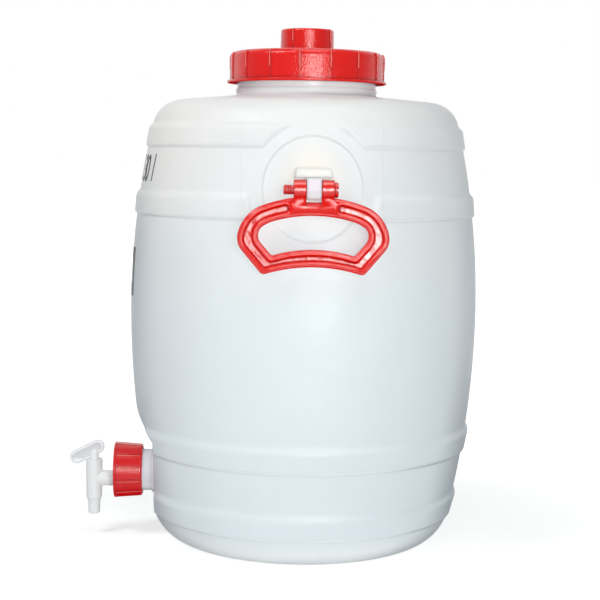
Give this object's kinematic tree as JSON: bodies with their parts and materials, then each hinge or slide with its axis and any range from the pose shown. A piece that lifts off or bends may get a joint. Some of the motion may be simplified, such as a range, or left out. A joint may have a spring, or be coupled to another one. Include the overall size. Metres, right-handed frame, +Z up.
{
  "type": "plastic drum",
  "caption": "Barrel-shaped plastic liquid drum with a ribbed screw lid, vent cap, swinging carry handles and a plug tap near the base.",
  "frame": {"origin": "on the drum's axis, at the underside of its flat base", "axes": "+Z up along the drum's axis, -X towards the tap, -Y towards the front handle"},
  "size_m": [0.3911, 0.3606, 0.4901],
  "materials": {
    "natural_polyethylene": "satin, milky and slightly translucent",
    "red_plastic": "glossy injection-moulded",
    "white_plastic": "smooth injection-moulded",
    "seal_rubber": "soft matt"
  },
  "bodies": {
    "drum": {"drum_body": "natural_polyethylene"},
    "lid_gasket": {"lid_seal": "seal_rubber"},
    "lid": {"lid": "red_plastic"},
    "vent_gasket": {"vent_cap_seal": "seal_rubber"},
    "vent_cap": {"vent_cap": "red_plastic"},
    "tap": {"tap_body": "white_plastic", "tap_seal": "seal_rubber"},
    "tap_nut": {"tap_nut": "red_plastic"},
    "tap_plug": {"tap_plug": "white_plastic"},
    "front_handle": {"handle_front": "red_plastic", "hinge_screw_front": "red_plastic"},
    "back_handle": {"handle_back": "red_plastic", "hinge_screw_back": "red_plastic"}
  },
  "joints": [
    {"name": "lid_lift", "type": "slide", "parent": "drum", "child": "lid_gasket", "axis": [0, 0, 1], "range_m": [0, 0.03]},
    {"name": "lid_turn", "type": "hinge", "parent": "lid_gasket", "child": "lid", "pos_m": [0, 0, 0.45], "axis": [0, 0, 1], "range_deg": [0, 1080]},
    {"name": "vent_lift", "type": "slide", "parent": "lid", "child": "vent_gasket", "axis": [0, 0, 1], "range_m": [0, 0.02]},
    {"name": "vent_turn", "type": "hinge", "parent": "vent_gasket", "child": "vent_cap", "pos_m": [0, 0, 0.48], "axis": [0, 0, 1], "range_deg": [0, 1440]},
    {"name": "tap_draw", "type": "slide", "parent": "drum", "child": "tap", "axis": [-1, 0, 0], "range_m": [0, 0.02]},
    {"name": "nut_turn", "type": "hinge", "parent": "tap", "child": "tap_nut", "pos_m": [-0.17, 0, 0.064], "axis": [-1, 0, 0], "range_deg": [0, 1440]},
    {"name": "plug_turn", "type": "hinge", "parent": "tap", "child": "tap_plug", "pos_m": [-0.2014, 0, 0.072], "axis": [0, 0, 1], "range_deg": [0, 90]},
    {"name": "front_handle_swing", "type": "hinge", "parent": "drum", "child": "front_handle", "pos_m": [0, -0.1718, 0.342], "axis": [-1, 0, 0], "range_deg": [0, 120]},
    {"name": "back_handle_swing", "type": "hinge", "parent": "drum", "child": "back_handle", "pos_m": [0, 0.1718, 0.342], "axis": [1, 0, 0], "range_deg": [0, 120]}
  ],
  "couplings": [
    {"joint": "lid_turn", "follows": "lid_lift", "rad_per_m": 628.32},
    {"joint": "vent_turn", "follows": "vent_lift", "rad_per_m": 1256.6},
    {"joint": "nut_turn", "follows": "tap_draw", "rad_per_m": 1256.6}
  ]
}
